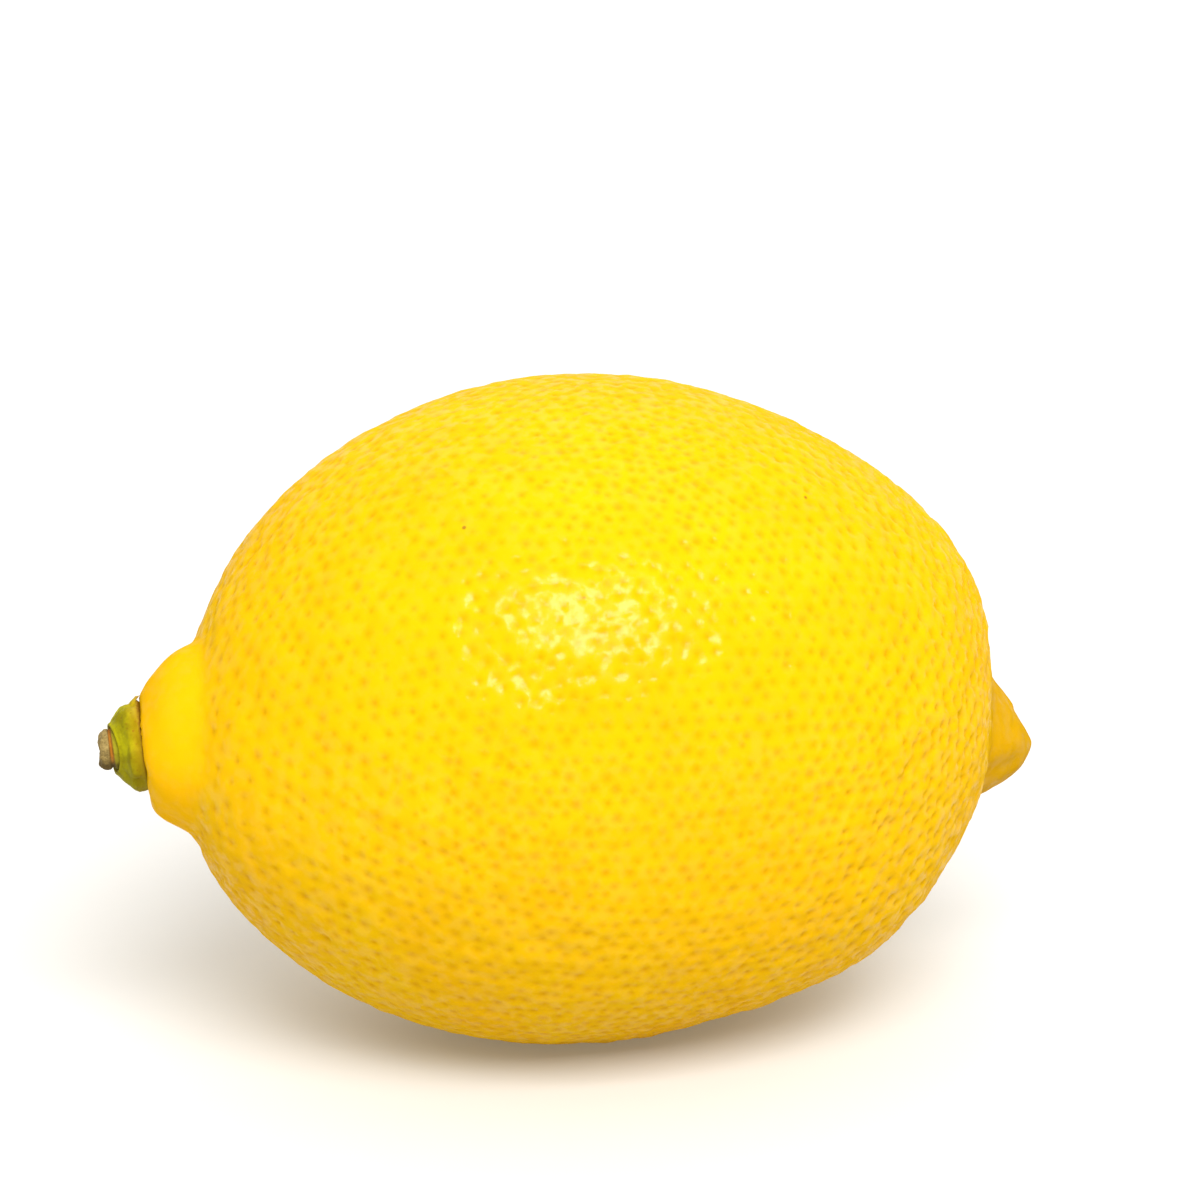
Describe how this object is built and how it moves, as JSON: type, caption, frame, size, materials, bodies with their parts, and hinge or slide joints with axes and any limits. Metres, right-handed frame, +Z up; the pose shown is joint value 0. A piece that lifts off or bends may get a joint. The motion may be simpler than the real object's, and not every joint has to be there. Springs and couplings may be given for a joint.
{
  "type": "lemon",
  "caption": "Whole fresh lemon lying on its side, with a rounded neck, a pointed nipple, a pitted rind, a green calyx button and a cut stub of stem.",
  "frame": {"origin": "the middle of the small flat spot under the fruit, at the level of the surface that it rests on", "axes": "+X along the fruit from the stem end to the nipple, +Z up from the surface, +Y towards the side of the fruit that the picture doesn't show"},
  "size_m": [0.0927, 0.0638, 0.0637],
  "materials": {
    "rind": "waxy yellow lemon rind with close oil pits, soft broad gloss",
    "calyx_green": "matt yellow-green calyx with fine brown specks and brown edges",
    "stem_wood": "dry cut stem, pale tan cut face with a dark middle and a brown edge"
  },
  "bodies": {
    "root": {"fruit": "rind", "calyx": "calyx_green", "stem_stub": "stem_wood"}
  },
  "joints": []
}
